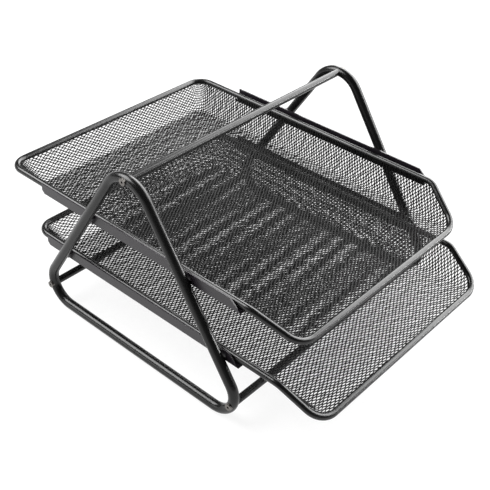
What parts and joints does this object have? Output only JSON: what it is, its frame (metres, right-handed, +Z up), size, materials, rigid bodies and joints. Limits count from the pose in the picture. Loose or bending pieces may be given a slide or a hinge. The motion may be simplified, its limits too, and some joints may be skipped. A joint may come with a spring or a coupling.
{
  "type": "letter tray",
  "caption": "Two-tier desktop letter tray: wire-rimmed mesh trays slide on angle rails between bent-tube side frames tied by cross rods.",
  "frame": {"origin": "on the table under the middle of the stand, halfway between the side frames and between the two base rods", "axes": "+Z up, -Y towards the front where the trays pull out, +X to the right seen from the front"},
  "size_m": [0.292, 0.3815, 0.1931],
  "materials": {
    "tubes": "semi-gloss powder coat",
    "rails": "semi-gloss powder coat",
    "tray_rims": "semi-gloss powder coat",
    "mesh": "satin powder coat",
    "screws": "blackened, satin"
  },
  "bodies": {
    "stand": {"side_frame_left": "tubes", "upper_rail_left": "rails", "upper_rail_welds_left": "rails", "lower_rail_left": "rails", "lower_rail_welds_left": "rails", "top_screw_left": "screws", "rear_screw_left": "screws", "front_screw_left": "screws", "side_frame_right": "tubes", "upper_rail_right": "rails", "upper_rail_welds_right": "rails", "lower_rail_right": "rails", "lower_rail_welds_right": "rails", "top_screw_right": "screws", "rear_screw_right": "screws", "front_screw_right": "screws", "top_cross_rod": "tubes", "rear_cross_rod": "tubes", "front_cross_rod": "tubes"},
    "upper_tray": {"upper_tray_rim": "tray_rims", "upper_tray_mesh": "mesh"},
    "lower_tray": {"lower_tray_rim": "tray_rims", "lower_tray_mesh": "mesh"}
  },
  "joints": [
    {"name": "upper_tray_slide", "type": "slide", "parent": "stand", "child": "upper_tray", "axis": [0, -1, 0], "range_m": [0, 0.1]},
    {"name": "lower_tray_slide", "type": "slide", "parent": "stand", "child": "lower_tray", "axis": [0, -1, 0], "range_m": [-0.03, 0.07]}
  ]
}
